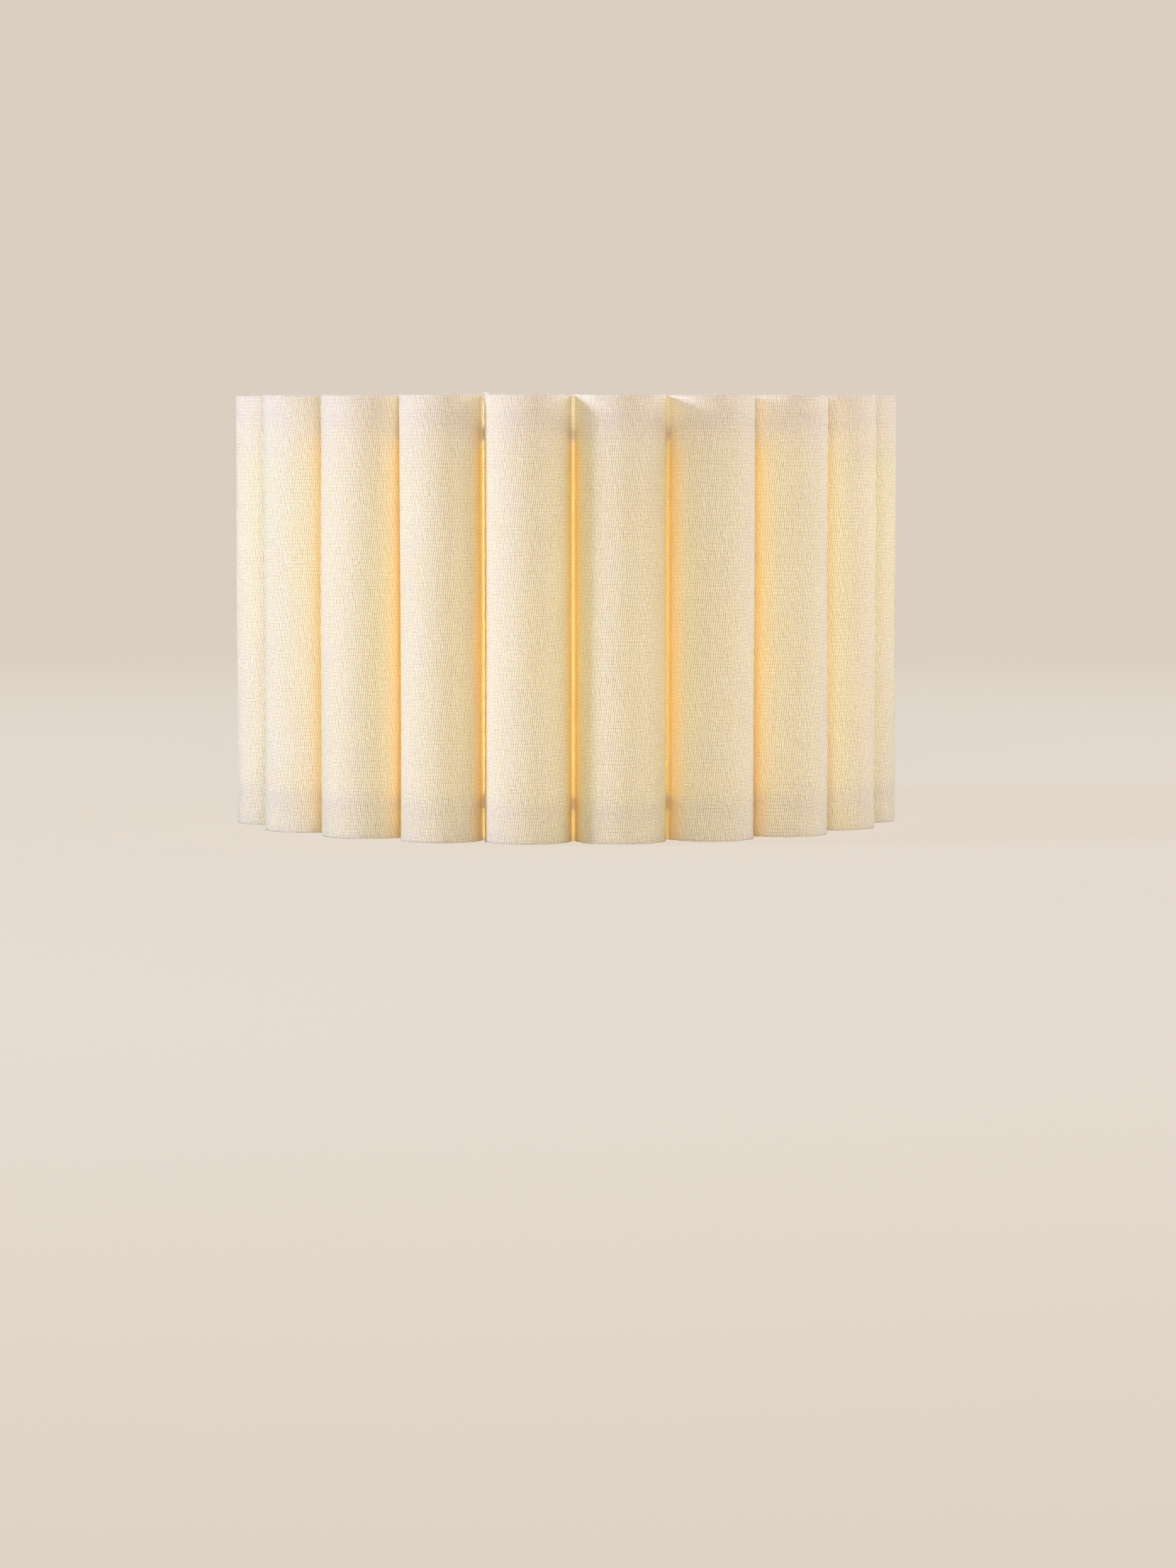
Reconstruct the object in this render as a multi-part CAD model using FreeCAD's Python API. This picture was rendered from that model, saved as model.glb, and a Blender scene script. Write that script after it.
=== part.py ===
import FreeCAD, Part
import math
import os

# Fluted drum lamp shade: a cloth-and-film band formed into half-round flutes, stiffened by two round
# wire rings near its edges and carried by a three-arm spider that rises to a fitter washer.
#
# Frame: millimetres, +Z up, origin at the centre of the bottom edge. The shade stands on z = 0, and
# angles in plan are turned from -Y, its front, towards +X.

# ---- driving dimensions ----------------------------------------------------------------------------

FLUTES = 20                    # half-round flutes round the band
CREST_R = 150.0                # outside radius over the flutes
VALLEY_R = 131.0               # outside radius at the bottom of the folds between flutes
HEIGHT = 191.5                 # cut height of the band
CLOTH_T = 0.5                  # woven cloth
FILM_T = 0.4                   # stiff film that the cloth is laminated to
FOLD_R = 1.0                   # radius of the cloth's outer face in each fold
FIRST_FOLD_DEG = 20.3          # the first fold's even place
# Forming leaves the folds a little uneven: each one's turn from its even place, in degrees.
FOLD_SHIFT_DEG = [-0.8, -0.85, -0.3, -0.2, 0.0, 0.4, 0.7, 0.3, -0.5, -0.9,
                  -0.4, 0.3, 0.8, 0.2, -0.55, 0.4, 1.0, 1.8, 0.3, -0.75]

SEAM_FOLD = 18                 # the fold that holds the seam, left of the front
SEAM_GAP = 0.3                 # gap between the band's two butted ends
STRIP_W = 12.0                 # backing strip glued over the seam from inside
STRIP_T = 0.35

WIRE_D = 3.6                   # rings and arms
RING_CLEARANCE = 0.1           # glue line between a ring and the film's folds
RING_FROM_EDGE = 17.5          # each ring's height in from its edge of the band
RING_WELD_R = 2.1              # butt weld that closes each ring
RING_WELD_W = 2.4
RING_WELD_DEG = 164.0

BOND_R = 3.3                   # glue bead that holds a ring to one fold
BOND_W = 5.4
BOND_OFFSET = 1.1              # bead's centre, outwards from the wire's

ARMS = 3
FIRST_ARM_DEG = 30.0
ARM_FOOT_RUN = 16.0            # level run beside the ring
ARM_HEAD_RUN = 18.0            # level run from the tip outwards
ARM_END_R = 23.5               # where an arm's tip stops under the washer
ARM_BEND_R = 9.0
ARM_WELD_R = 2.7               # weld beads where arms meet the ring and the washer

FITTER_BORE_R = 21.0           # passes the threaded neck of a standard E27 lampholder
FITTER_OUTER_R = 28.0
FITTER_T = 1.6
FITTER_Z = 40.0                # underside of the fitter washer
FITTER_EDGE_R = 0.5

# ---- derived dimensions ----------------------------------------------------------------------------

FOLD_CENTRE_R = VALLEY_R + FOLD_R
FILM_INNER = CLOTH_T + FILM_T
WIRE_R = WIRE_D / 2
RING_R = VALLEY_R - FILM_INNER - RING_CLEARANCE - WIRE_R
BOTTOM_RING_Z = RING_FROM_EDGE
TOP_RING_Z = HEIGHT - RING_FROM_EDGE
ARM_FOOT_R = RING_R - WIRE_R
ARM_HEAD_Z = FITTER_Z - WIRE_R

UP = FreeCAD.Vector(0, 0, 1)
INWARD = FreeCAD.Vector(0, 1, 0)      # at the front, towards the axis
CENTRE = FreeCAD.Vector(0, 0, 0)


# ---- the band's outline ----------------------------------------------------------------------------

def polar(radius, angle, z=0.0):
    """A point at a radius and an angle in plan."""
    return FreeCAD.Vector(radius * math.sin(angle), -radius * math.cos(angle), z)


def fold_angle(k):
    """The angle of fold k, which lies between flute k and flute k + 1."""
    return math.radians(FIRST_FOLD_DEG + 360 / FLUTES * k + FOLD_SHIFT_DEG[k % FLUTES])


def flute_angles(k):
    """Flute k's crest angle, and half the angle between its two folds."""
    return (fold_angle(k) + fold_angle(k - 1)) / 2, (fold_angle(k) - fold_angle(k - 1)) / 2


def flute_radius(k):
    """The radius that makes flute k's arc touch the crest circle and run smoothly into both folds."""
    cosine = math.cos(flute_angles(k)[1])
    to_folds = CREST_R**2 + FOLD_CENTRE_R**2 - 2 * CREST_R * FOLD_CENTRE_R * cosine - FOLD_R**2
    return to_folds / (2 * (CREST_R - FOLD_CENTRE_R * cosine + FOLD_R))


def flute_turn(k):
    """How far flute k's arc turns from its crest to where a fold's arc takes over."""
    half = flute_angles(k)[1]
    centre_r = CREST_R - flute_radius(k)
    return math.atan2(FOLD_CENTRE_R * math.sin(half), FOLD_CENTRE_R * math.cos(half) - centre_r)


def flute_arc(k, depth, start, end):
    """Part of flute k's arc, between two turns from its crest, at a depth inside the cloth."""
    crest = flute_angles(k)[0]
    centre = polar(CREST_R - flute_radius(k), crest)
    turns = (start, (start + end) / 2, end)
    return Part.Arc(*[centre + polar(flute_radius(k) - depth, crest + turn) for turn in turns]).toShape()


def fold_arc(k, depth, start, end):
    """Part of fold k's arc, between two turns from the fold's bottom, at a depth inside the cloth."""
    centre = polar(FOLD_CENTRE_R, fold_angle(k))
    turns = (start, (start + end) / 2, end)
    return Part.Arc(*[centre - polar(FOLD_R + depth, fold_angle(k) - turn) for turn in turns]).toShape()


def fold_start(k):
    return flute_angles(k)[1] - flute_turn(k)


def fold_end(k):
    return flute_turn(k + 1) - flute_angles(k + 1)[1]


def band_outline(depth):
    """The band's outline at a depth inside the cloth, once round from one butted end to the other."""
    half_gap = SEAM_GAP / 2 / (FOLD_R + depth)
    last = SEAM_FOLD + FLUTES
    edges = [fold_arc(SEAM_FOLD, depth, half_gap, fold_end(SEAM_FOLD))]
    for k in range(SEAM_FOLD + 1, last + 1):
        edges.append(flute_arc(k, depth, -flute_turn(k), flute_turn(k)))
        edges.append(fold_arc(k, depth, fold_start(k), fold_end(k) if k < last else -half_gap))
    return edges


# ---- the band --------------------------------------------------------------------------------------

def upright_strip(outer, inner):
    """The full-height solid between two outlines that run the same way."""
    start = Part.makeLine(outer[0].firstVertex().Point, inner[0].firstVertex().Point)
    end = Part.makeLine(outer[-1].lastVertex().Point, inner[-1].lastVertex().Point)
    outline = Part.Wire(Part.__sortEdges__(outer + [end] + inner + [start]))
    return Part.Face(outline).extrude(UP * HEIGHT)


def make_band(outer_depth, inner_depth):
    """One layer of the band, between two depths."""
    return upright_strip(band_outline(outer_depth), band_outline(inner_depth))


def make_seam_strip():
    """The strip of film glued inside beside the seam, along the flank of the flute before it."""
    end = flute_turn(SEAM_FOLD)
    start = end - STRIP_W / flute_radius(SEAM_FOLD)
    outer = flute_arc(SEAM_FOLD, FILM_INNER, start, end)
    inner = flute_arc(SEAM_FOLD, FILM_INNER + STRIP_T, start, end)
    return upright_strip([outer], [inner])


# ---- rings and their glue --------------------------------------------------------------------------

def make_ring(z):
    return Part.makeTorus(RING_R, WIRE_R, FreeCAD.Vector(0, 0, z), UP)


def sleeve(centre_r, radius, z, angle, length):
    """A round sleeve over a ring: it follows the ring's curve for a length, centred on an angle."""
    across = FreeCAD.Vector(1, 0, 0)
    outside = Part.Face(Part.Wire(Part.makeCircle(radius, polar(centre_r, 0.0, z), across)))
    wire = Part.Face(Part.Wire(Part.makeCircle(WIRE_R, polar(RING_R, 0.0, z), across)))
    spread = math.degrees(length / RING_R)
    solid = outside.cut(wire).Faces[0].revolve(CENTRE, UP, spread)
    solid.rotate(CENTRE, UP, math.degrees(angle) - spread / 2)
    return solid


def make_ring_bonds(z):
    """One bead of glue in each fold, wrapped round the ring and up against the film."""
    fold = Part.makeCylinder(FOLD_R + FILM_INNER, HEIGHT, polar(FOLD_CENTRE_R, 0.0))
    bead = sleeve(RING_R + BOND_OFFSET, BOND_R, z, 0.0, BOND_W).cut(fold)
    beads = []
    for k in range(FLUTES):
        copy = bead.copy()
        copy.rotate(CENTRE, UP, math.degrees(fold_angle(k)))
        beads.extend(copy.Solids)
    return Part.makeCompound(beads)


def make_ring_welds():
    """The butt weld that closes each ring, a little thicker than the wire."""
    angle = math.radians(RING_WELD_DEG)
    return Part.makeCompound([sleeve(RING_R, RING_WELD_R, z, angle, RING_WELD_W)
                              for z in (BOTTOM_RING_Z, TOP_RING_Z)])


# ---- the spider ------------------------------------------------------------------------------------

def arm_angle(index):
    return math.radians(FIRST_ARM_DEG) + index * 2 * math.pi / ARMS


def bent_wire(points, bend_r):
    """A round wire through points, with tangent arcs at its corners."""
    edges = []
    here = points[0]
    for before, corner, after in zip(points, points[1:], points[2:]):
        along_in = (corner - before).normalize()
        along_out = (after - corner).normalize()
        turn = along_in.getAngle(along_out)
        start = corner - along_in * (bend_r * math.tan(turn / 2))
        end = corner + along_out * (bend_r * math.tan(turn / 2))
        inward = (along_out - along_in).normalize()
        middle = corner + inward * (bend_r / math.cos(turn / 2) - bend_r)
        edges.append(Part.makeLine(here, start))
        edges.append(Part.Arc(start, middle, end).toShape())
        here = end
    edges.append(Part.makeLine(here, points[-1]))
    section = Part.Face(Part.Wire(Part.makeCircle(WIRE_R, points[0], points[1] - points[0])))
    return Part.Wire(edges).makePipe(section)


def make_arm(index):
    """One arm: level from the bottom ring, up a slope, then level under the washer.

    Its foot is coped to fit the ring's round side.
    """
    angle = arm_angle(index)
    points = [
        polar(RING_R, angle, BOTTOM_RING_Z),
        polar(ARM_FOOT_R - ARM_FOOT_RUN, angle, BOTTOM_RING_Z),
        polar(ARM_END_R + ARM_HEAD_RUN, angle, ARM_HEAD_Z),
        polar(ARM_END_R, angle, ARM_HEAD_Z),
    ]
    return bent_wire(points, ARM_BEND_R).cut(make_ring(BOTTOM_RING_Z)).Solids[0]


def make_fitter():
    """A flat washer with its outer edges rounded."""
    outer = Part.makeCylinder(FITTER_OUTER_R, FITTER_T, FreeCAD.Vector(0, 0, FITTER_Z))
    bore = Part.makeCylinder(FITTER_BORE_R, FITTER_T, FreeCAD.Vector(0, 0, FITTER_Z))
    washer = outer.cut(bore)
    circles = [edge for edge in washer.Edges if isinstance(edge.Curve, Part.Circle)]
    rims = [edge for edge in circles if abs(edge.Curve.Radius - FITTER_OUTER_R) < FITTER_EDGE_R]
    return washer.makeFillet(FITTER_EDGE_R, rims)


def make_foot_weld():
    """A weld round the foot of an arm that points to the front, where it meets the ring."""
    arm = Part.makeCylinder(WIRE_R, ARM_FOOT_RUN, polar(RING_R, 0.0, BOTTOM_RING_Z), INWARD)
    bead = Part.makeSphere(ARM_WELD_R, polar(ARM_FOOT_R, 0.0, BOTTOM_RING_Z))
    return bead.cut(arm).cut(make_ring(BOTTOM_RING_Z))


def make_head_weld():
    """A weld under the head of an arm that points to the front, up both its sides to the washer."""
    across = 2 * ARM_WELD_R
    middle_r = FITTER_OUTER_R - WIRE_R
    below = Part.makeBox(across, across, across)
    below.translate(FreeCAD.Vector(-ARM_WELD_R, -middle_r - ARM_WELD_R, FITTER_Z - across))
    over_arm = Part.makeBox(WIRE_R, across, WIRE_R)
    over_arm.translate(FreeCAD.Vector(-WIRE_R / 2, -middle_r - ARM_WELD_R, ARM_HEAD_Z))
    arm_start = polar(middle_r + across, 0.0, ARM_HEAD_Z)
    arm = Part.makeCylinder(WIRE_R, 2 * across, arm_start, INWARD)
    bead = Part.makeSphere(ARM_WELD_R, polar(middle_r, 0.0, ARM_HEAD_Z))
    return bead.common(below).cut(arm).cut(over_arm)


def make_arm_welds():
    """The welds at each arm's two ends."""
    welds = []
    for index in range(ARMS):
        for weld in (make_foot_weld(), make_head_weld()):
            weld.rotate(CENTRE, UP, math.degrees(arm_angle(index)))
            welds.extend(weld.Solids)
    return Part.makeCompound(welds)


# ---- build and export ------------------------------------------------------------------------------

def main():
    """Build every node and write one STEP file for each."""
    nodes = {
        "fabric_cover": make_band(0.0, CLOTH_T),
        "backing_film": make_band(CLOTH_T, FILM_INNER),
        "seam_strip": make_seam_strip(),
        "top_ring": make_ring(TOP_RING_Z),
        "bottom_ring": make_ring(BOTTOM_RING_Z),
        "top_ring_bonds": make_ring_bonds(TOP_RING_Z),
        "bottom_ring_bonds": make_ring_bonds(BOTTOM_RING_Z),
        "ring_welds": make_ring_welds(),
        "fitter_washer": make_fitter(),
        "arm_welds": make_arm_welds(),
    }
    for index in range(ARMS):
        nodes[f"spider_arm_{index + 1}"] = make_arm(index)

    os.makedirs("parts", exist_ok=True)
    for name, shape in nodes.items():
        shape.exportStep(f"parts/{name}.step")
        print(name, len(shape.Solids), "solids", "valid" if shape.isValid() else "NOT VALID",
              round(shape.Volume, 1), "mm3")


main()
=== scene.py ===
# Looks of the fluted drum lamp shade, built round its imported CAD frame. Metres, +Z up, front towards -Y.
import math
import random

import bpy
import numpy as np
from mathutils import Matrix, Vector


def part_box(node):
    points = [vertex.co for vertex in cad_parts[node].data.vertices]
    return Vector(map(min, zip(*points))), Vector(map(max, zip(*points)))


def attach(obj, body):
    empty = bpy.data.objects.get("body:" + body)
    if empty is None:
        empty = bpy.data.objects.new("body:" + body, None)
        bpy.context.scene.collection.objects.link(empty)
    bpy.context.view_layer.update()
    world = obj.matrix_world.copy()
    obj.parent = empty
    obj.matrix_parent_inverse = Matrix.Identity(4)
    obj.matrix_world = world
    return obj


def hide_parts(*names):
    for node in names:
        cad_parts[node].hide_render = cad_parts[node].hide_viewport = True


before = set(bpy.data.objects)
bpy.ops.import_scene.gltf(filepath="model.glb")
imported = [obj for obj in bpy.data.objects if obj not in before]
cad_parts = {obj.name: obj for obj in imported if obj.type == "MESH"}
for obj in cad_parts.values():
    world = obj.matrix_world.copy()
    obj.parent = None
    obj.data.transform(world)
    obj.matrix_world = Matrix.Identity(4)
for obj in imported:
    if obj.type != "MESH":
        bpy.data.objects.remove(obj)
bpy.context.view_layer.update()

# ---- dimensions ------------------------------------------------------------------------------------

MM = 0.001
FLUTES = 20
CREST_R = 150.0 * MM
VALLEY_R = 131.0 * MM
FOLD_R = 1.0 * MM
CLOTH_T = 0.5 * MM
FILM_T = 0.4 * MM
FIRST_FOLD_DEG = 20.3
FOLD_SHIFT_DEG = [-0.8, -0.85, -0.3, -0.2, 0.0, 0.4, 0.7, 0.3, -0.5, -0.9,
                  -0.4, 0.3, 0.8, 0.2, -0.55, 0.4, 1.0, 1.8, 0.3, -0.75]
SEAM_FOLD = 18
SEAM_GAP = 0.2 * MM

BOTTOM, TOP = (corner.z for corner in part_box("backing_film"))
HEIGHT = TOP - BOTTOM
FOLD_CENTRE_R = VALLEY_R + FOLD_R
BAND_T = CLOTH_T + FILM_T
RINGS = {name: sum(corner.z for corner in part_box(name)) / 2 for name in ("top_ring", "bottom_ring")}
WIRE_R = (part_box("top_ring")[1].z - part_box("top_ring")[0].z) / 2
RING_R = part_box("top_ring")[1].x - WIRE_R

# How finely the band is modelled
FLUTE_STEPS = 44
FOLD_STEPS = 8
ROWS = 30

# Weave: the yarns' pitches, and how far an upright yarn leans for each metre that it falls
UPRIGHT_PITCH = 0.78 * MM
LEVEL_PITCH = 0.62 * MM
LEAN = 0.11

# How far the formed band strays from its even shape and its cut edges from level, how much is cut off
# at each edge, and how the edges are rounded
BOW = 0.30 * MM
SWAY = 0.20 * MM
RIPPLE = 0.08 * MM
INSET = 0.05 * MM
EDGE_WANDER = 0.14 * MM
BOTTOM_TRIM = 0.25 * MM
TOP_TRIM = 0.15 * MM
EDGE_R = 0.15 * MM


# ---- the band's outline ----------------------------------------------------------------------------

def fold_angle(k):
    """The angle of fold k, turned from -Y towards +X. It lies between flutes k and k + 1."""
    return math.radians(FIRST_FOLD_DEG + 360 / FLUTES * k + FOLD_SHIFT_DEG[k % FLUTES])


def flute(k):
    """Flute k's crest angle, half the angle between its folds, radius, and turn from crest to fold."""
    crest = (fold_angle(k) + fold_angle(k - 1)) / 2
    half = (fold_angle(k) - fold_angle(k - 1)) / 2
    to_fold = FOLD_CENTRE_R * math.cos(half)
    radius = CREST_R**2 + FOLD_CENTRE_R**2 - 2 * CREST_R * to_fold - FOLD_R**2
    radius /= 2 * (CREST_R - to_fold + FOLD_R)
    turn = math.atan2(FOLD_CENTRE_R * math.sin(half), to_fold - (CREST_R - radius))
    return crest, half, radius, turn


def outward(angle):
    """The direction in plan at an angle, or one for each of several angles."""
    return np.stack([np.sin(angle), -np.cos(angle)], axis=-1)


class Outline:
    """The cloth's outer face in plan, once round from the seam.

    Each point has its outward normal, the number of its flute or fold, its climb from 0 at a fold to 1
    at a crest, its distance along the cloth, and the share of the band's unevenness that it takes.
    """

    def __init__(self, flute_steps, fold_steps):
        self.parts = []
        half_gap = SEAM_GAP / 2 / FOLD_R
        last = SEAM_FOLD + FLUTES
        _, next_half, _, next_turn = flute(SEAM_FOLD + 1)
        self.add_fold(SEAM_FOLD, np.linspace(half_gap, next_turn - next_half, fold_steps // 2 + 1))
        for k in range(SEAM_FOLD + 1, last + 1):
            crest, half, radius, turn = flute(k)
            self.add_flute(k, crest, radius, np.linspace(-turn, turn, flute_steps + 1)[1:-1])
            if k < last:
                _, next_half, _, next_turn = flute(k + 1)
                self.add_fold(k, np.linspace(half - turn, next_turn - next_half, fold_steps + 1))
            else:
                self.add_fold(k, np.linspace(half - turn, -half_gap, fold_steps // 2 + 1))
        self.points, self.normals, self.number, self.climb = map(np.concatenate, zip(*self.parts))
        self.share = np.sin(np.pi / 2 * self.climb) ** 0.5
        steps = np.linalg.norm(np.diff(self.points, axis=0), axis=1)
        self.along = np.concatenate([[0.0], np.cumsum(steps)])

    def add_fold(self, k, turns):
        """The rounded tip of fold k, at each turn from its middle."""
        normals = outward(fold_angle(k) - turns)
        points = outward(fold_angle(k)) * FOLD_CENTRE_R - normals * FOLD_R
        self.parts.append((points, normals, np.full(len(turns), k), np.zeros(len(turns))))

    def add_flute(self, k, crest, radius, turns):
        """The round front of flute k, at each turn from its crest."""
        normals = outward(crest + turns)
        points = outward(crest) * (CREST_R - radius) + normals * radius
        climb = 1 - np.abs(turns) / np.abs(turns).max()
        self.parts.append((points, normals, np.full(len(turns), k), climb))


def unevenness(outline, z):
    """How far the formed band stands off its even shape at a height, in metres. Folds are held."""
    k = outline.number
    up = (z - BOTTOM) / HEIGHT
    bow = BOW * np.sin(2.1 * k + 0.6) * math.sin(math.pi * up)
    sway = SWAY * np.sin(3.7 * k + 5.0 * up + 1.3)
    ripple = RIPPLE * np.sin(130.0 * outline.along + 9.0 * up * np.cos(1.7 * k))
    return outline.share * (bow + sway + ripple - INSET)


def edge_wave(outline, phase):
    """How far a hand-cut edge wanders from level along the band."""
    s = outline.along
    waves = 0.5 * np.sin(13 * s + phase) + 0.3 * np.sin(41 * s + 2 * phase) + 0.2 * np.sin(157 * s)
    return EDGE_WANDER * waves


def band_row(outline, z, depth):
    """Points once round the band at a height, at a depth inside the cloth's outer face."""
    plan = outline.points + outline.normals * (unevenness(outline, z) - depth)[:, None]
    up = (z - BOTTOM) / HEIGHT
    low = edge_wave(outline, 1.0) + BOTTOM_TRIM
    high = edge_wave(outline, 2.6) - TOP_TRIM
    return np.column_stack([plan, z + low * (1 - up) + high * up])


# ---- meshes ----------------------------------------------------------------------------------------

def new_object(name, data, material=None):
    """A new object in the scene, with its material."""
    obj = bpy.data.objects.new(name, data)
    bpy.context.scene.collection.objects.link(obj)
    if material is not None:
        data.materials.append(material)
    return obj


def smooth_mesh(name, vertices, faces):
    """A smooth mesh from vertices and faces."""
    mesh = bpy.data.meshes.new(name)
    mesh.from_pydata(vertices, [], faces)
    mesh.polygons.foreach_set("use_smooth", [True] * len(mesh.polygons))
    mesh.update()
    return mesh


def grid_mesh(name, rows, uvs=None, climb=None, closed=False, flip=False):
    """A smooth mesh through rows of points. closed joins each row's last point to its first."""
    rows = np.asarray(rows, float)
    count, width = rows.shape[:2]
    index = np.arange(count * width).reshape(count, width)
    here, after = (index, np.roll(index, -1, axis=1)) if closed else (index[:, :-1], index[:, 1:])
    quads = np.stack([here[:-1], after[:-1], after[1:], here[1:]], axis=-1).reshape(-1, 4)
    if flip:
        quads = quads[:, ::-1]
    mesh = smooth_mesh(name, rows.reshape(-1, 3).tolist(), quads.tolist())
    if uvs is not None:
        layer = mesh.uv_layers.new(name="cloth")
        layer.data.foreach_set("uv", np.asarray(uvs, float).reshape(-1, 2)[quads.ravel()].ravel())
    if climb is not None:
        attribute = mesh.attributes.new("climb", "FLOAT", "POINT")
        attribute.data.foreach_set("value", np.tile(climb, count))
    mesh.update()
    return mesh


def tube_mesh(name, lines):
    """One mesh of thin closed tubes. Each line is its points and the radius at each of them."""
    sides = 6
    turns = [2 * math.pi * i / sides for i in range(sides)]
    circle = [(math.cos(turn), math.sin(turn)) for turn in turns]
    vertices, faces = [], []
    for points, radii in lines:
        points = [np.array(p, float) for p in points]
        start = len(vertices)
        for i, (point, radius) in enumerate(zip(points, radii)):
            along = points[min(i + 1, len(points) - 1)] - points[max(i - 1, 0)]
            along /= np.linalg.norm(along)
            side = np.cross(along, (0.31, 0.17, 0.93) if abs(along[2]) < 0.9 else (1.0, 0.0, 0.0))
            side /= np.linalg.norm(side)
            other = np.cross(along, side)
            vertices.extend(point + radius * (c * side + s * other) for c, s in circle)
        for ring in range(len(points) - 1):
            for i in range(sides):
                a = start + ring * sides + i
                b = start + ring * sides + (i + 1) % sides
                faces.append((a, b, b + sides, a + sides))
        faces.append(tuple(range(start + sides - 1, start - 1, -1)))
        faces.append(tuple(range(len(vertices) - sides, len(vertices))))
    return smooth_mesh(name, [tuple(v) for v in vertices], faces)


# ---- node helper -----------------------------------------------------------------------------------

class Graph:
    """A material's nodes, written as expressions."""

    def __init__(self, name):
        self.material = bpy.data.materials.new(name)
        self.material.use_nodes = True
        self.tree = self.material.node_tree
        self.tree.nodes.clear()

    def node(self, kind, settings=None, **inputs):
        """A new node, with its settings and with its inputs by name."""
        made = self.tree.nodes.new(kind)
        for key, value in (settings or {}).items():
            setattr(made, key, value)
        for key, value in inputs.items():
            self.put(made.inputs[key.replace("_", " ")], value)
        return made

    def put(self, socket, value):
        """Gives an input its value, which is a number or comes from another node."""
        if isinstance(value, bpy.types.NodeSocket):
            self.tree.links.new(value, socket)
        else:
            socket.default_value = value

    def put_colour(self, socket, colour):
        """A colour from a node, or red, green and blue."""
        self.put(socket, colour if isinstance(colour, bpy.types.NodeSocket) else (*colour, 1.0))

    def math(self, operation, *values):
        made = self.tree.nodes.new("ShaderNodeMath")
        made.operation = operation
        for socket, value in zip(made.inputs, values):
            self.put(socket, value)
        return made.outputs[0]

    def add(self, a, b):
        return self.math("ADD", a, b)

    def times(self, a, b):
        return self.math("MULTIPLY", a, b)

    def scaled(self, value, low, high, from_low=0.0, from_high=1.0):
        """low where value is from_low, high where it is from_high, and eased between."""
        made = self.tree.nodes.new("ShaderNodeMapRange")
        made.interpolation_type = "SMOOTHSTEP"
        for socket, number in zip(made.inputs, (value, from_low, from_high, low, high)):
            self.put(socket, number)
        return made.outputs[0]

    def vector(self, x, y, z=0.0):
        made = self.tree.nodes.new("ShaderNodeCombineXYZ")
        for socket, value in zip(made.inputs, (x, y, z)):
            self.put(socket, value)
        return made.outputs[0]

    def noise(self, vector, scale=1.0, detail=2.0):
        made = self.node("ShaderNodeTexNoise", Vector=vector, Scale=scale, Detail=detail)
        return made.outputs["Fac"]

    def mix(self, share, a, b):
        """The colour a, and b where share is 1."""
        made = self.tree.nodes.new("ShaderNodeMix")
        made.data_type = "RGBA"
        colours = [socket for socket in made.inputs if socket.type == "RGBA"]
        self.put(made.inputs[0], share)
        for socket, colour in zip(colours, (a, b)):
            self.put_colour(socket, colour)
        return next(socket for socket in made.outputs if socket.type == "RGBA")

    def darken(self, colour, factor):
        """colour times a number."""
        made = self.node("ShaderNodeVectorMath", {"operation": "SCALE"})
        self.put(made.inputs[0], colour)
        self.put(made.inputs["Scale"], factor)
        return made.outputs[0]

    def bump(self, height, distance, strength):
        made = self.node("ShaderNodeBump", Height=height, Distance=distance, Strength=strength)
        return made.outputs["Normal"]

    def output(self, shader):
        out = self.tree.nodes.new("ShaderNodeOutputMaterial")
        self.tree.links.new(shader, out.inputs["Surface"])
        return self.material

    def lets_light_through(self, share, surface, colour):
        """A surface shader mixed with light that passes through, scattered."""
        through = self.tree.nodes.new("ShaderNodeBsdfTranslucent")
        self.put_colour(through.inputs["Color"], colour)
        both = self.tree.nodes.new("ShaderNodeMixShader")
        self.put(both.inputs[0], share)
        self.tree.links.new(surface, both.inputs[1])
        self.tree.links.new(through.outputs[0], both.inputs[2])
        return both.outputs[0]


# ---- materials -------------------------------------------------------------------------------------

# Cloth: the yarns' two creams, their gaps, painted shade and warm glow deep in a fold, and the seed specks
CLOTH_COOL = (0.97, 0.935, 0.865)
CLOTH_WARM = (0.97, 0.925, 0.835)
CLOTH_GAP = (0.47, 0.31, 0.15)
FOLD_PAINTED_SHADE = (0.95, 0.83, 0.58)
SEED = (0.33, 0.22, 0.12)

# The colour of the light that the cloth passes: thin yarns, thick yarns, deep in a fold, along the top
CLOTH_THROUGH = (0.97, 0.97, 0.04)
CLOTH_THROUGH_DENSE = (0.95, 0.94, 0.07)
FOLD_THROUGH = (1.0, 0.70, 0.05)
# Along the top the passed light is painted paler, for room light falling in over the edge
TOP_PAINTED_PALE_THROUGH = (0.94, 0.84, 0.55)

# How much light the cloth passes on a flute and in a fold, how much of its colour a crest keeps, and
# how far up a flute the fold's glow reaches
CLOTH_PASSES = 0.22
FOLD_PASSES = 0.38
CREST_PASSES = 0.72
FOLD_REACH = 0.36

# How much light the other materials pass, and the colour of the film's
FILM_THROUGH = (0.95, 0.92, 0.85)
FILM_PASSES = 0.78
TAPE_PASSES = 0.85
GLUE_PASSES = 0.6
FIBRE_PASSES = 0.35

# The stage's own colour, and its glow
STAGE = (0.10, 0.095, 0.09)
STAGE_GLOW = (0.71, 0.63, 0.54)

# Weave: how far a yarn sways, in pitches, and its width, as a share of the pitch, where it is thin
# and where it is thick
UPRIGHT_SWAY = 0.8
LEVEL_SWAY = 0.5
UPRIGHT_YARN = (0.22, 0.42)
LEVEL_YARN = (0.30, 0.62)


def object_place(g):
    """Where a point is on its object, in metres."""
    return g.node("ShaderNodeTexCoord").outputs["Object"]


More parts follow.
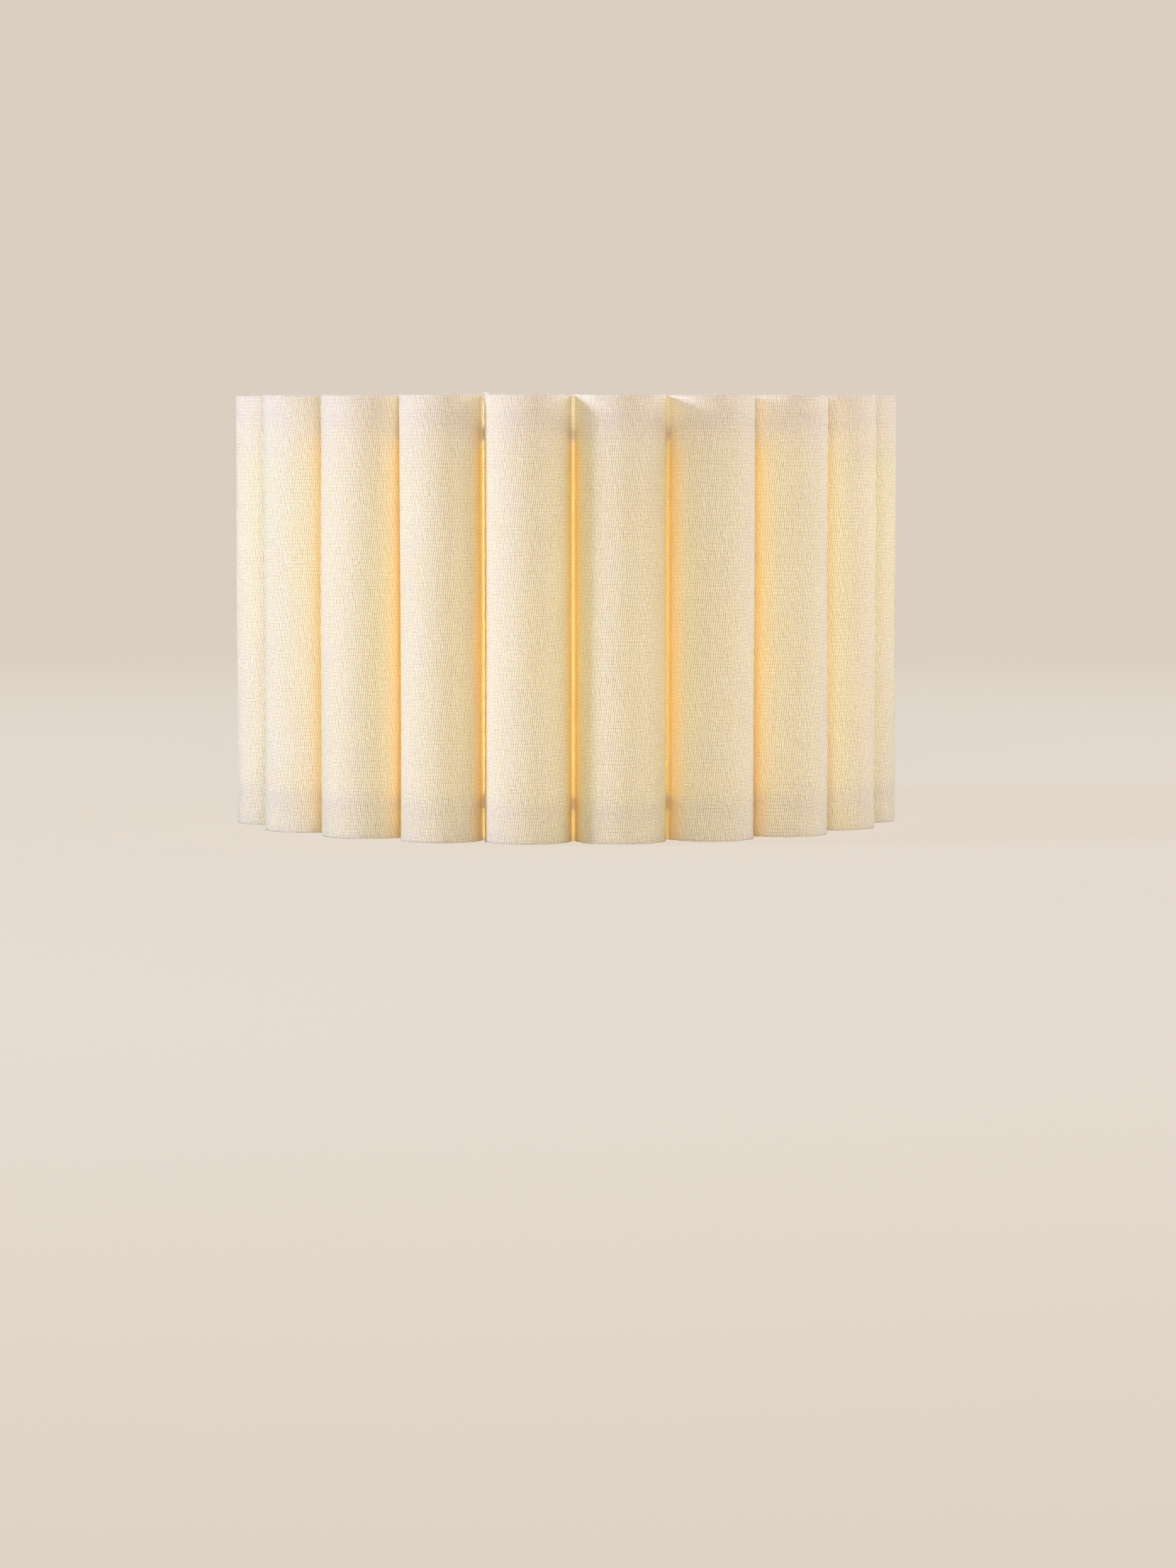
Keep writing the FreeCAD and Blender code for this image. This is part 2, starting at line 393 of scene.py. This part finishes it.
def yarn_gap(g, place, number, run, seed, widths):
    """The gap beside a yarn: 0 on the yarn, 1 midway to the next. Also the yarn's thickness.

    place is in yarns across, run is in crossings along, and the yarn's thickness wanders as it runs.
    widths are the yarn's, as a share of the pitch, where it is thin and where it is thick.
    """
    thickness = g.noise(g.vector(g.times(number, 3.71), g.times(run, 0.5), seed), 1.0, 1.0)
    stray = g.noise(g.vector(g.times(number, 5.3), g.times(run, 0.12), seed + 4.0), 1.0, 1.0)
    aside = g.times(g.add(stray, -0.5), 0.4)
    off_centre = g.times(g.math("ABSOLUTE", g.add(g.add(g.math("FRACT", place), aside), -0.5)), 2.0)
    edge = g.scaled(thickness, *widths, 0.3, 0.7)
    return g.scaled(off_centre, 0.0, 1.0, edge, 1.0), thickness


def woven(g):
    """The weave: its upright and level gaps, its yarns' tone, a place on the flat cloth, and height."""
    sheet = g.node("ShaderNodeUVMap", {"uv_map": "cloth"}).outputs[0]
    where = g.node("ShaderNodeSeparateXYZ", Vector=sheet)
    along, up = where.outputs[0], where.outputs[1]
    flat = g.vector(along, up)
    sway = g.times(g.add(g.noise(flat, 60.0, 2.0), -0.5), UPRIGHT_SWAY)
    upright = g.add(g.math("DIVIDE", g.add(along, g.times(up, LEAN)), UPRIGHT_PITCH), sway)
    dip = g.times(g.add(g.noise(g.vector(up, along), 50.0, 1.0), -0.5), LEVEL_SWAY)
    level = g.add(g.math("DIVIDE", up, LEVEL_PITCH), dip)
    upright_gap, upright_tone = yarn_gap(g, upright, g.math("FLOOR", upright), level, 0.0, UPRIGHT_YARN)
    level_gap, level_tone = yarn_gap(g, level, g.math("FLOOR", level), upright, 9.0, LEVEL_YARN)
    tone = g.times(g.add(upright_tone, level_tone), 0.5)
    return upright_gap, level_gap, tone, flat, up


def seed_specks(g, flat):
    """1 on the few specks of cotton seed, and 0 elsewhere."""
    cell = g.node("ShaderNodeTexVoronoi", {"feature": "F1"}, Vector=flat, Scale=95.0)
    draw = g.node("ShaderNodeSeparateXYZ", Vector=cell.outputs["Color"]).outputs[0]
    rare = g.math("GREATER_THAN", draw, 0.80)
    return g.times(rare, g.scaled(cell.outputs["Distance"], 1.0, 0.0, 0.018, 0.034))


def cloth_colour(g, tone, gap, speck, flat, painted_fold_shade):
    """The cloth's colour: two creams, tan gaps, seed specks, and painted shade and glow deep in a fold."""
    mottle = g.noise(flat, 32.0, 3.0)
    pale = g.mix(g.scaled(mottle, 0.0, 1.0, 0.35, 0.65), CLOTH_COOL, CLOTH_WARM)
    pale = g.darken(pale, g.scaled(tone, 0.96, 1.03, 0.3, 0.7))
    # Painted shade: darker and warmer deep in a fold, for the shade and the bulb's glow there
    pale = g.mix(painted_fold_shade, pale, FOLD_PAINTED_SHADE)
    colour = g.mix(gap, pale, CLOTH_GAP)
    return g.mix(g.times(speck, 0.75), colour, SEED)


def cloth_glow(g, tone, gap, speck, climb, up, deep):
    """The colour of the light that the cloth passes, amber in the folds, painted paler along the top."""
    through = g.mix(g.scaled(tone, 0.0, 1.0, 0.3, 0.7), CLOTH_THROUGH, CLOTH_THROUGH_DENSE)
    through = g.darken(through, g.scaled(gap, 1.0, 0.62))
    through = g.mix(speck, through, SEED)
    through = g.mix(deep, through, FOLD_THROUGH)
    # Painted light: paler passed light along the top band
    through = g.mix(g.scaled(up, 0.0, 0.6, TOP - 30 * MM, TOP - 8 * MM), through, TOP_PAINTED_PALE_THROUGH)
    at_fold_tip = g.scaled(climb, 0.85, 1.0, 0.0, 0.03)
    towards_crest = g.scaled(climb, 1.0, CREST_PASSES, 0.12, 0.72)
    return g.darken(g.darken(through, at_fold_tip), towards_crest)


def cloth_material():
    """Cream plain weave: pale rounded yarns, tan gaps between them, slubs, and a few seed specks."""
    g = Graph("cream_weave")
    upright_gap, level_gap, tone, flat, up = woven(g)
    gap = g.math("MINIMUM", g.add(g.times(upright_gap, 0.80), g.times(level_gap, 0.56)), 1.0)
    speck = seed_specks(g, flat)
    climb = g.node("ShaderNodeAttribute", {"attribute_name": "climb"}).outputs["Fac"]
    # Near the top, by the ring, the fold's painted shade and its glow fade
    below_top_band = g.scaled(up, 1.0, 0.35, TOP - 28 * MM, TOP - 10 * MM)
    # Where the fold's shade and glow are painted into the cloth's colour, weaker near the top
    painted_fold_shade = g.times(below_top_band, g.scaled(climb, 0.75, 0.0, 0.0, 0.06))
    colour = cloth_colour(g, tone, gap, speck, flat, painted_fold_shade)
    relief = g.math("SUBTRACT", 1.0, g.math("MAXIMUM", upright_gap, g.times(level_gap, 0.6)))
    surface = g.node("ShaderNodeBsdfPrincipled", Base_Color=colour, Roughness=0.93,
                     Normal=g.bump(relief, 0.15 * MM, 0.5), Sheen_Weight=0.12, Sheen_Roughness=0.6)
    surface.inputs["Specular IOR Level"].default_value = 0.15
    deep = g.times(below_top_band, g.scaled(climb, 1.0, 0.0, 0.0, FOLD_REACH))
    through = cloth_glow(g, tone, gap, speck, climb, up, deep)
    passes = g.scaled(deep, CLOTH_PASSES, FOLD_PASSES)
    # Both edges pass a little more light, a painted glow where the light in the shade reaches them least
    passes = g.times(passes, g.scaled(up, 1.2, 1.0, BOTTOM, BOTTOM + 36 * MM))
    passes = g.times(passes, g.scaled(up, 1.0, 1.1, TOP - 24 * MM, TOP - 6 * MM))
    return g.output(g.lets_light_through(passes, surface.outputs[0], through))


def film_material():
    """White matt film, faintly mottled, that spreads the bulb's light."""
    g = Graph("white_film")
    where = object_place(g)
    cloudy = g.noise(where, 55.0, 3.0)
    colour = g.mix(cloudy, (0.94, 0.93, 0.90), (0.97, 0.96, 0.94))
    grain = g.noise(where, 2600.0, 2.0)
    normal = g.bump(grain, 0.05 * MM, 0.35)
    surface = g.node("ShaderNodeBsdfPrincipled", Base_Color=colour, Roughness=0.55, Normal=normal)
    surface.inputs["Specular IOR Level"].default_value = 0.35
    return g.output(g.lets_light_through(FILM_PASSES, surface.outputs[0], FILM_THROUGH))


def tape_material():
    """Clear matt tape along the seam, which lets nearly all the light through."""
    g = Graph("clear_tape")
    where = object_place(g)
    cloudy = g.noise(where, 140.0, 3.0)
    colour = g.mix(cloudy, (0.95, 0.94, 0.91), (0.90, 0.885, 0.85))
    surface = g.node("ShaderNodeBsdfPrincipled", Base_Color=colour, Roughness=0.3,
                     Normal=g.bump(cloudy, 0.05 * MM, 0.4))
    return g.output(g.lets_light_through(TAPE_PASSES, surface.outputs[0], (0.99, 0.985, 0.97)))


def wire_material():
    """White powder coat with a fine orange-peel."""
    g = Graph("powder_coat")
    where = object_place(g)
    peel = g.noise(where, 900.0, 2.0)
    dust = g.noise(where, 60.0, 4.0)
    colour = g.mix(g.scaled(dust, 0.0, 1.0, 0.35, 0.7), (0.86, 0.85, 0.82), (0.80, 0.785, 0.75))
    rough = g.scaled(dust, 0.34, 0.48)
    surface = g.node("ShaderNodeBsdfPrincipled", Base_Color=colour, Roughness=rough,
                     Normal=g.bump(peel, 0.06 * MM, 0.5))
    return g.output(surface.outputs[0])


def glue_material():
    """Set hot-melt glue: cloudy, pale amber, with a soft shine."""
    g = Graph("set_glue")
    where = object_place(g)
    cloudy = g.noise(where, 420.0, 3.0)
    colour = g.mix(cloudy, (0.93, 0.90, 0.82), (0.89, 0.85, 0.74))
    surface = g.node("ShaderNodeBsdfPrincipled", Base_Color=colour, Roughness=0.28,
                     Normal=g.bump(cloudy, 0.3 * MM, 0.4))
    return g.output(g.lets_light_through(GLUE_PASSES, surface.outputs[0], (0.96, 0.9, 0.74)))


def thread_material():
    """Loose cotton fibre at the cut edges."""
    g = Graph("loose_fibre")
    where = object_place(g)
    twist = g.noise(where, 3500.0, 2.0)
    colour = g.mix(twist, (0.97, 0.94, 0.88), (0.86, 0.80, 0.70))
    surface = g.node("ShaderNodeBsdfPrincipled", Base_Color=colour, Roughness=0.95,
                     Normal=g.bump(twist, 0.05 * MM, 0.6))
    return g.output(g.lets_light_through(FIBRE_PASSES, surface.outputs[0], (0.95, 0.88, 0.75)))


def stage_material():
    """Pale plaster for the floor and backdrop. It takes light near the shade, and far off it only glows."""
    g = Graph("pale_plaster")
    where = object_place(g)
    patchy = g.noise(where, 1.5, 2.0)
    colour = g.mix(patchy, STAGE, tuple(0.9 * c for c in STAGE))
    x, y, _ = g.node("ShaderNodeSeparateXYZ", Vector=where).outputs
    distance_squared = g.add(g.times(x, x), g.times(y, y))
    colour = g.darken(colour, g.scaled(distance_squared, 1.0, 0.0, 0.2, 3.0))
    glow = g.mix(patchy, STAGE_GLOW, tuple(0.98 * c for c in STAGE_GLOW))
    surface = g.node("ShaderNodeBsdfPrincipled", Base_Color=colour, Roughness=0.9,
                     Normal=g.bump(g.noise(where, 60.0, 4.0), 0.002, 0.15),
                     Emission_Color=glow, Emission_Strength=1.0)
    surface.inputs["Specular IOR Level"].default_value = 0.0
    return g.output(surface.outputs[0])


# ---- the band --------------------------------------------------------------------------------------

def make_cloth(outline, material):
    """The cloth: its outer face, with both cut edges turned in by its thickness."""
    edge = [(0.0, CLOTH_T), (0.0, 0.2 * CLOTH_T), (EDGE_R, 0.03 * CLOTH_T), (4 * EDGE_R, 0.0)]
    steps = [(BOTTOM + rise, depth) for rise, depth in edge]
    inner = np.linspace(BOTTOM, TOP, ROWS + 1)[1:-1]
    steps += [(z, 0.0) for z in inner] + [(TOP - rise, depth) for rise, depth in reversed(edge)]
    rows = [band_row(outline, z, depth) for z, depth in steps]
    uvs = []
    for z, depth in steps:
        beyond = depth if z > TOP - MM / 2 else -depth if z < BOTTOM + MM / 2 else 0.0
        uvs.append(np.column_stack([outline.along, np.full(len(outline.along), z + beyond)]))
    return new_object("cloth_band", grid_mesh("cloth_band", rows, uvs, outline.climb), material)


def make_film(outline, material):
    """The film behind it: its inner face, and both cut edges out to the cloth."""
    inner = np.linspace(BOTTOM, TOP, ROWS // 2 + 1)
    steps = [(BOTTOM, CLOTH_T), (BOTTOM, CLOTH_T + 0.8 * FILM_T), (BOTTOM + EDGE_R, BAND_T)]
    steps += [(z, BAND_T) for z in inner[1:-1]]
    steps += [(TOP - EDGE_R, BAND_T), (TOP, CLOTH_T + 0.8 * FILM_T), (TOP, CLOTH_T)]
    rows = [band_row(outline, z, depth) for z, depth in steps]
    mesh = grid_mesh("film_liner", rows, closed=True, flip=True)
    return new_object("film_liner", mesh, material)


def make_yarn_ends(name, outline, z, up, rng, material):
    """The upright yarns' cut ends, which stand a little proud of the cloth's edge, and stray fibres.

    up is 1 at the top edge and -1 at the bottom one. Lengths are drawn in millimetres.
    """
    root_depth = 0.25
    lines = []
    middle = band_row(outline, z, CLOTH_T / 2)
    length = outline.along[-1]
    count = int(length / UPRIGHT_PITCH)
    for i in range(count):
        s = (i + 0.5 + 0.3 * rng.uniform(-1, 1)) * length / count
        root = np.array([np.interp(s, outline.along, middle[:, axis]) for axis in range(3)])
        normal = np.array([np.interp(s, outline.along, outline.normals[:, axis]) for axis in range(2)])
        tangent = np.array([-normal[1], normal[0]])
        lean = normal * rng.uniform(-0.12, 0.16) + tangent * rng.uniform(-0.25, 0.25)
        reach = rng.uniform(0.05, 0.30) if rng.random() < 0.93 else rng.uniform(0.4, 0.9)
        radius = rng.uniform(0.13, 0.21)
        root = root - np.array([0, 0, up]) * root_depth * MM
        tip = root + np.append(lean * MM, up * (root_depth + reach) * MM)
        bend = (root + tip) / 2 + np.append(lean * 0.2 * MM, 0.0)
        taper = 0.5 if reach < 0.35 else 0.3
        lines.append(((root, bend, tip), (radius * MM, radius * MM, radius * taper * MM)))
    return new_object(name, tube_mesh(name, lines), material)


def seam_strand(points, radius):
    """A fibre at the seam's top: its smoothed points, and its radius at each.

    Each point is how far it is out from the fold, across it and above the band's edge. These and the
    radius are in millimetres.
    """
    path = []
    for out, across, rise in points:
        plan = outward(fold_angle(SEAM_FOLD) + across * MM / VALLEY_R) * (VALLEY_R + out * MM)
        path.append((plan[0], plan[1], TOP + rise * MM))
    each = 6
    at = np.arange((len(path) - 1) * each + 1) / each
    smooth = np.column_stack([np.interp(at, range(len(path)), axis) for axis in zip(*path)])
    return smooth, [radius * MM] * len(smooth)


def make_seam_thread(material):
    """The loose end of yarn that curls over the top of the seam, and two finer ones beside it."""
    lines = [
        seam_strand([(0.3, -0.6, -1.2), (0.7, 0.0, 0.2), (1.6, 0.9, 0.9), (3.0, 1.8, 0.5), (4.4, 2.4, 1.0),
                     (5.8, 2.9, 1.3), (7.2, 3.3, 0.6), (7.9, 3.5, -0.4)], 0.16),
        seam_strand([(1.0, 0.4, -0.3), (2.2, 1.3, 0.5), (3.6, 1.7, 0.2), (4.8, 2.2, 0.7),
                     (5.4, 2.7, 0.1)], 0.10),
        seam_strand([(5.0, 2.7, 0.0), (6.4, 3.6, 0.7), (8.6, 4.6, 0.9), (10.4, 5.0, 0.3)], 0.07),
    ]
    return new_object("seam_thread", tube_mesh("seam_thread", lines), material)


# Glue beads: half sizes in millimetres, and how finely they are modelled
BEAD_OUT, BEAD_ACROSS, BEAD_RISE = 2.75, 3.3, 3.2
BEAD_SIDES = 16
BEAD_LEVELS = 10


def bead_points(k, z, rng):
    """One glue bead: an uneven blob in fold k, round the wire at height z, and pressed against the film."""
    size = [rng.uniform(0.88, 1.15) for _ in range(3)]
    slump = rng.uniform(-0.5, 0.2)
    phase = rng.uniform(0, 6.28)
    axis = outward(fold_angle(k))
    side = np.array([-axis[1], axis[0]])
    film_r = (FOLD_R + BAND_T) / MM
    middle = (RING_R - FOLD_CENTRE_R) / MM + 0.7
    points = []
    for polar in np.linspace(0, math.pi, BEAD_LEVELS + 1):
        for turn in np.linspace(0, 2 * math.pi, BEAD_SIDES, endpoint=False):
            lump = 1 + 0.10 * math.sin(3 * turn + phase) * math.sin(polar)
            lump += 0.06 * math.sin(5 * polar + phase)
            out = BEAD_OUT * size[0] * lump * math.sin(polar) * math.cos(turn)
            across = BEAD_ACROSS * size[1] * lump * math.sin(polar) * math.sin(turn)
            rise = BEAD_RISE * size[2] * math.cos(polar) + slump * (1 - math.cos(polar)) / 2
            # The bead stays inside the fold's centre, and is pressed flat where it would pass the film
            to_fold = np.array([min(middle + out, -0.3), across])
            to_fold *= max(1.0, film_r / np.linalg.norm(to_fold))
            plan = axis * (FOLD_CENTRE_R + to_fold[0] * MM) + side * to_fold[1] * MM
            points.append((plan[0], plan[1], z + rise * MM))
    return points


def make_glue(name, z, rng, material):
    """A ring's glue beads, one in each fold."""
    vertices, faces = [], []
    for k in range(FLUTES):
        start = len(vertices)
        vertices += bead_points(k, z, rng)
        for level in range(BEAD_LEVELS):
            for i in range(BEAD_SIDES):
                a = start + level * BEAD_SIDES + i
                b = start + level * BEAD_SIDES + (i + 1) % BEAD_SIDES
                faces.append((a, a + BEAD_SIDES, b + BEAD_SIDES, b))
    return new_object(name, smooth_mesh(name, vertices, faces), material)


# ---- stage, lights and camera ----------------------------------------------------------------------

def make_stage(material):
    """A floor that curves up into a round backdrop, far outside every view's camera."""
    flat_r, bend_r, wall, sides = 3.6, 1.4, 3.4, 96
    floor_z = BOTTOM - 0.3 * MM
    profile = [(r, 0.0) for r in (0.0, 0.3, 0.8, 1.6, 2.6, flat_r)]
    for turn in np.linspace(0, math.pi / 2, 13)[1:]:
        profile.append((flat_r + bend_r * math.sin(turn), bend_r * (1 - math.cos(turn))))
    profile.append((flat_r + bend_r, wall))
    angles = np.linspace(0, 2 * math.pi, sides, endpoint=False)
    rows = [np.column_stack([r * np.cos(angles), r * np.sin(angles), np.full(sides, z + floor_z)])
            for r, z in profile]
    stage = new_object("stage", grid_mesh("stage", rows, closed=True), material)
    stage.visible_diffuse = stage.visible_glossy = stage.visible_transmission = False


# The soft lights: azimuth and elevation in degrees, size in metres, power in watts, and colour
LIGHT_DISTANCE = 2.6
SOFT_LIGHTS = {
    "window": (-79, 19.5, 0.55, 85, (0.60, 0.68, 0.97)),
    "front_fill": (0, 12, 1.4, 50, (0.96, 0.885, 0.93)),
    "right_fill": (70, 15, 1.4, 23, (0.97, 0.84, 0.83)),
    "back_right_fill": (110, 15, 1.0, 51, (0.62, 0.67, 0.95)),
}

# The bulb in the shade, as two frosted glows one above the other: height in metres, and power in watts
GLOWS = ((0.042, 0.76), (0.13, 0.57))
GLOW_COLOUR = (1.0, 0.88, 0.55)
BULB_RADIUS = 0.022

ROOM_COLOUR = (1.0, 0.985, 0.955)
ROOM_STRENGTH = 0.16

# The camera stands in front of the shade, level with its top edge, and looks slightly down
CAMERA_PLACE = (0.0, -2.26, 0.1797)
CAMERA_LENS = 114.15
CAMERA_SENSOR = 36.0
LOOK_DOWN_DEG = 4.16
LOOK_RIGHT_DEG = 0.267


def add_soft_light(name, azimuth, elevation, size, power, colour):
    """A square soft light, aimed at the shade from an azimuth turned from -Y towards +X."""
    light = bpy.data.lights.new(name, "AREA")
    light.size = size
    light.energy = power
    light.color = colour
    obj = new_object(name, light)
    rise = math.radians(elevation)
    plan = outward(math.radians(azimuth)) * math.cos(rise) * LIGHT_DISTANCE
    middle = Vector((0, 0, HEIGHT / 2))
    obj.location = (plan[0], plan[1], HEIGHT / 2 + math.sin(rise) * LIGHT_DISTANCE)
    obj.rotation_euler = (middle - obj.location).to_track_quat("-Z", "Y").to_euler()
    obj.visible_camera = False


def make_lights():
    """The studio's soft lights, the light in the shade, and the room's even light."""
    for name, settings in SOFT_LIGHTS.items():
        add_soft_light(name, *settings)
    for i, (height, power) in enumerate(GLOWS):
        bulb = bpy.data.lights.new(f"bulb_{i}", "POINT")
        bulb.energy = power
        bulb.color = GLOW_COLOUR
        bulb.shadow_soft_size = BULB_RADIUS
        obj = new_object(f"bulb_{i}", bulb)
        obj.location = (0, 0, height)
        obj.visible_camera = False
    world = bpy.data.worlds.new("room")
    world.use_nodes = True
    background = world.node_tree.nodes["Background"]
    background.inputs["Color"].default_value = (*ROOM_COLOUR, 1.0)
    background.inputs["Strength"].default_value = ROOM_STRENGTH
    bpy.context.scene.world = world


def make_camera():
    """The camera, made the scene's own."""
    camera = bpy.data.cameras.new("camera")
    camera.lens = CAMERA_LENS
    camera.sensor_width = CAMERA_SENSOR
    obj = new_object("camera", camera)
    obj.location = CAMERA_PLACE
    obj.rotation_euler = (math.radians(90 - LOOK_DOWN_DEG), 0.0, math.radians(-LOOK_RIGHT_DEG))
    bpy.context.scene.camera = obj


def let_light_bounce():
    """Light crosses the band and the folds many times, which the usual limit of four would darken."""
    cycles = bpy.context.scene.cycles
    cycles.max_bounces = 32
    cycles.diffuse_bounces = 20
    cycles.transmission_bounces = 20


# ---- build -----------------------------------------------------------------------------------------

def main():
    """The pieces over their CAD nodes, their body, and then the studio."""
    rng = random.Random(7)
    outline = Outline(FLUTE_STEPS, FOLD_STEPS)
    fibre = thread_material()

    cloth = make_cloth(outline, cloth_material())
    liner = make_film(outline, film_material())
    ends_top = make_yarn_ends("yarn_ends_top", outline, TOP, 1, rng, fibre)
    ends_bottom = make_yarn_ends("yarn_ends_bottom", outline, BOTTOM, -1, rng, fibre)
    thread = make_seam_thread(fibre)
    glue = glue_material()
    beads = {name: make_glue(name, z, rng, glue) for name, z in
             (("glue_top", RINGS["top_ring"]), ("glue_bottom", RINGS["bottom_ring"]))}

    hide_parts("fabric_cover")
    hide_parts("backing_film")
    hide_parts("top_ring_bonds")
    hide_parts("bottom_ring_bonds")
    for piece, slot in ((cloth, "cloth"), (ends_top, "cloth"), (ends_bottom, "cloth"), (thread, "cloth"),
                        (liner, "film"), (beads["glue_top"], "glue"), (beads["glue_bottom"], "glue")):
        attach(piece, "root")
    tape = tape_material()
    wire = wire_material()
    for name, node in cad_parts.items():
        node.data.materials.clear()
        node.data.materials.append(tape if name == "seam_strip" else wire)

    make_stage(stage_material())
    make_lights()
    make_camera()
    bpy.context.scene.view_settings.view_transform = "Standard"
    let_light_bounce()


main()
